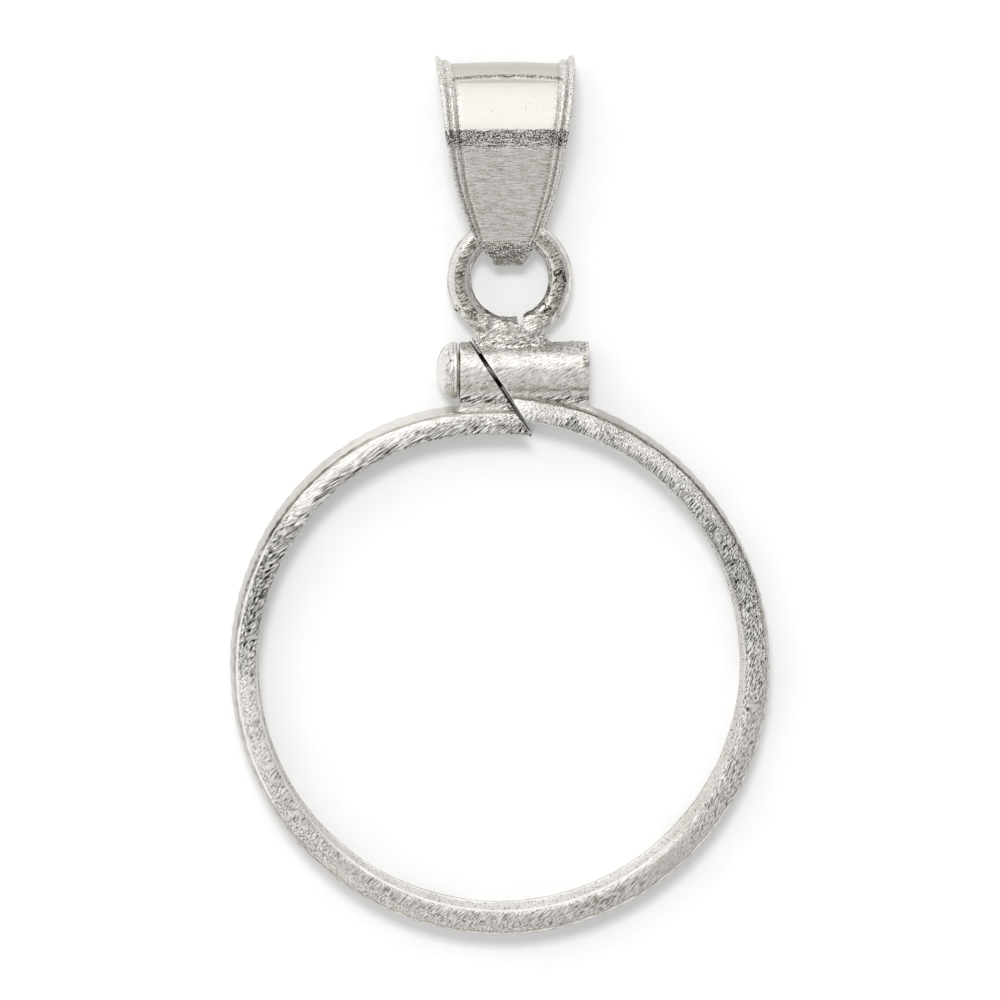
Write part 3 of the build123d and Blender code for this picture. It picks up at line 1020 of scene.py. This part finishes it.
def sideLine(s):
    # the bail's side view as evenly spaced points, from the lap up the front leaf and round to the lap again
    y, z, radius = s["bend"]
    slope, lap = math.radians(s["frontSlope"]), math.radians(s["lapTurn"])
    onLap, onLeaf, onArch, onBack = s["samples"]

    def onBend(turn):
        return (y - math.sin(turn) * radius, z + math.cos(turn) * radius)

    line = [onBend(lap + (slope - lap) * i / onLap) for i in range(onLap + 1)]
    foot, crest = line[-1], s["arch"][0]
    line += [tuple(a + (b - a) * i / onLeaf for a, b in zip(foot, crest)) for i in range(1, onLeaf)]
    chords = [0]
    for here, there in zip(s["arch"], s["arch"][1:]):
        chords.append(chords[-1] + math.dist(here, there))
    tables = [[(chord, point[k]) for chord, point in zip(chords, s["arch"])] for k in (0, 1)]
    line += [tuple(smoothTable(table, chords[-1] * i / onArch) for table in tables) for i in range(onArch + 1)]
    line += [onBend(math.pi + (lap - math.pi) * i / onBack) for i in range(onBack + 1)]
    lengths = [0]
    for here, there in zip(line, line[1:]):
        lengths.append(lengths[-1] + math.dist(here, there))
    points = []
    k = 0
    for i in range(s["steps"]):
        want = lengths[-1] * i / s["steps"]
        while lengths[k + 1] < want - 1e-9:
            k += 1
        share = (want - lengths[k]) / max(lengths[k + 1] - lengths[k], 1e-9)
        points.append(Vector(line[k]).lerp(Vector(line[k + 1]), share))
    for spread in s["smoothing"]:
        points = [sum((points[(i + j) % len(points)] for j in range(-spread, spread + 1)), Vector((0, 0)))
                  / (2 * spread + 1) for i in range(len(points))]
    return points, lengths[-1]


def makeBail(s):
    points, length = sideLine(s)
    count = len(points)
    step = length / count
    ways = []
    for i in range(count):
        along = points[(i + 6) % count] - points[i - 6]
        ways.append(Vector((-along.y, along.x)).normalized())
    half, strip, sunk = s["halfWidth"], s["strip"], -s["panel"]
    # right half of the section, from the panel outwards
    side = [(2.1, sunk), (2.17, sunk - 0.01), (2.22, sunk - 0.02), (2.27, sunk + 0.02),  # panel
            (2.33, -0.04), (2.38, -0.008), (2.44, 0), (2.5, -0.02), (2.55, -0.07),  # inner ridge
            (2.59, -0.085), (2.63, -0.06),  # groove
            (2.68, -0.015), (2.74, 0), (2.82, -0.005), (2.88, -0.04), (half, -0.09),  # outer ridge
            (half, 0.07 - strip), (half - 0.03, 0.02 - strip), (half - 0.09, -strip)]  # plain inner side
    section = side + [(-x, out) for x, out in reversed(side)]
    obj = drawOutline("bailDressed", [(x, 0, out) for x, out in section])
    divide(lambda c, l: l > 4, 30)
    divide(lambda c, l: 0.15 < l < 0.3, 2)
    pickAll()
    bpy.ops.mesh.extrude_repeat(steps=count, offset=(0, step, 0))

    # the straight strip laid along the side view, each leaf with its own outline and lean
    bm = bmesh.from_edit_mesh(obj.data)
    across = bm.verts.layers.float.new("across")
    pastLap = bm.verts.layers.float.new("pastLap")
    tilt = math.radians(s["tilt"])
    wireX, wireY, wireZ = s["wire"]
    ridgeEnd, ridgeFade, ridgeLevel = s["ridgeEnd"]
    lapStart, lapHold, lapFade = s["lapRun"]
    hollowFrom, hollowTo, hollowDeep = s["hollow"]
    hollowReach, steepness, middleShare = s["hollowShape"]
    for v in bm.verts:
        x, run, out = v.co
        i = round(run / step)
        before = ((count - i) * step if i > count / 2 else -i * step) + s["lapBow"] * (x / half) ** 2
        if out > -strip / 2:
            out -= (out - ridgeLevel) * held((ridgeEnd - points[i % count].x) / ridgeFade)
        # where the front leaf laps over the tongue, the strip below is thinner
        past = held(before / lapStart) if before < lapHold else held(1 - (before - lapHold) / lapFade)
        out -= past * s["lapStep"] * (out + strip) / strip
        y, z = points[i % count] + ways[i % count] * out
        localY = (y - wireY) * math.cos(tilt) + (z - wireZ) * math.sin(tilt)
        localZ = (z - wireZ) * math.cos(tilt) - (y - wireY) * math.sin(tilt)
        share = (localY - s["bottom"]) / s["length"]
        back, front = [shift + math.tan(math.radians(lean)) * s["length"] * share
                       for shift, lean in (s["back"], s["front"])]
        wide = min(abs(x / half) / hollowReach, 1)
        deep = hollowDeep * held((y - hollowFrom) / (hollowTo - hollowFrom))
        y -= deep * (1 - wide ** steepness) * (middleShare + (1 - middleShare) * wide ** 2)
        leafX = back + (front - back) * (localZ / s["leafDepth"] + 0.5)
        v[across] = x / half
        v[pastLap] = before
        v.co = (wireX + leafX + x * smoothTable(s["outline"], share), y, z)
    bmesh.update_edit_mesh(obj.data)
    faceOutwards(0.0005)
    closeEdit()
    toCadPlace(obj, "bailDressed")
    return obj


bailFinish = dict(
    silverFinish,
    strokes=[(0, 0.028, 0.5, 0.34, None), (4, 0.028, 0.3, 0.2, None)],
    grainSize=0.05, grain=1.0, rough=(0.22, 0.3), pitLevel=0.74,
    # where each place begins and ends, and for a band how soft it is; across is in shares of the half width
    along={"band": (14.5, 15.05), "bandEnd": (15.34, 15.46), "satin": (14.4, 14.6), "mirror": (15.46, 17.4, 0.06),
           "groove": (17.53, 17.59, 0.05), "top": (17.53, 17.68), "bend": (10.4, 10.8), "side": (17.6, 18.1, 1.0, 0.3)},
    heights={"front": (1.6, 2.0), "bend": (0.6, 1.0)},
    across={"panel": (0.72, 0.78), "groove": (0.78, 0.84), "mirror": (0.66, 0.8), "line": (0.87, 0.895, 0.012),
            "innerLine": (0.745, 0.77, 0.012)},
    lap={"line": (-0.01, 0.05, 0.03), "end": (-0.75, -0.45), "endEdge": (0.0, 0.05)},
    marks={"plain": 0.55, "band": 4.0, "groove": 2.0, "bend": 1.1, "leafEnd": 0.7, "rails": 0.9},
    dark={"plain": 0.0, "band": 0.2, "groove": 0.22, "bend": 0.12, "lines": 0.08, "unevenLines": 1.2, "top": 0.08,
          "mirror": -0.02, "rails": -0.01, "lapLine": 0.3, "leafEnd": 0.06, "satin": 0.03, "side": 0.1},
    undrawn={"rails": 0.85, "band": 0.75, "bend": 0.6, "groove": 0.8},
    pitted={"plain": 0.0, "band": 0.14, "rails": 0.06},
)


def bailWearAndPaintedLight(bench, s):
    x, y, z = bench.place()
    along, heights, widths, laps, undrawn = s["along"], s["heights"], s["across"], s["lap"], s["undrawn"]
    across = abs(bench.values("across"))
    lap = bench.values("pastLap")
    front = bench.between(z, *heights["front"])
    wobble = (bench.noise(bench.millimetres(), 0.5) - 0.5) * 0.16
    line = y + wobble
    bowed = y + across * across * 0.2 + wobble * 0.2
    panel = bench.until(across + wobble * 0.3, *widths["panel"])
    rails = 1 - panel
    # the band below the polished panel: rough and pitted, and painted darker as a dark reflection
    band = bench.between(line, *along["band"]) * bench.until(line, *along["bandEnd"]) * front
    satin = panel * front * bench.until(y, *along["satin"])
    # painted shadow: a dark line along the step where the front leaf laps over the tongue
    lapLine = bench.band(lap, *laps["line"])
    leafEnd = bench.between(lap, *laps["end"]) * bench.until(lap, *laps["endEdge"])
    # painted shade: a thin dark line across the leaf where its top rolls over; the shape has no groove there
    groove = bench.band(bowed, *along["groove"]) * bench.until(across, *widths["groove"])
    # painted shade: the panel above that line, where the top rolls over, is darker, with fewer marks
    top = bench.between(bowed, *along["top"]) * panel
    bend = bench.until(y, *along["bend"]) * bench.between(z, *heights["bend"])
    lines = bench.band(across, *widths["line"]).most(bench.band(across, *widths["innerLine"]))
    mirror = bench.band(y, *along["mirror"]) * bench.until(across + wobble * 0.4, *widths["mirror"]) * front
    # painted shade: side faces near the top are darker
    side = (1 - bench.between(bench.upright(), 0.1, 0.6)) * bench.between(y, *along["side"])
    strength = addMasks(s["marks"], band=band, groove=groove, bend=bend, leafEnd=leafEnd, rails=rails)
    strength = strength * (1 - mirror * 0.93) * (1 - top * 0.85)
    darker = addMasks(s["dark"], band=band, groove=groove, bend=bend, lines=lines, unevenLines=lines * wobble, top=top,
                      mirror=mirror, rails=rails, lapLine=lapLine, leafEnd=leafEnd, satin=satin, side=side)
    plainest = (rails * undrawn["rails"]).most(band * undrawn["band"])
    plainest = plainest.most(bend * undrawn["bend"]).most(groove * undrawn["groove"])
    pitted = addMasks(s["pitted"], band=band, rails=rails) * (1 - mirror)
    return strength, 1 - plainest, darker, mirror, pitted


# putting it together
ring = makeChannelRing(ringSet)
dress(ring, finishSilver("filedSilver", ringFinish, ringWearAndPaintedLight), "frame", "bezel_frame")
print("channel ring done")
top = makeSolderedTop(topSet)
dress(top, finishSilver("solderedSilver", topFinish, topWearAndPaintedLight), "frame", "bezel_frame")
print("soldered top done")
screw = makeScrew(screwSet)
dress(screw, finishSilver("screwSilver", screwFinish, screwWearAndPaintedShade), "screw", "clamp_screw")
print("screw done")
bail = makeBail(bailSet)
dress(bail, finishSilver("satinSilver", bailFinish, bailWearAndPaintedLight), "bail", "bail")
print("bail done")
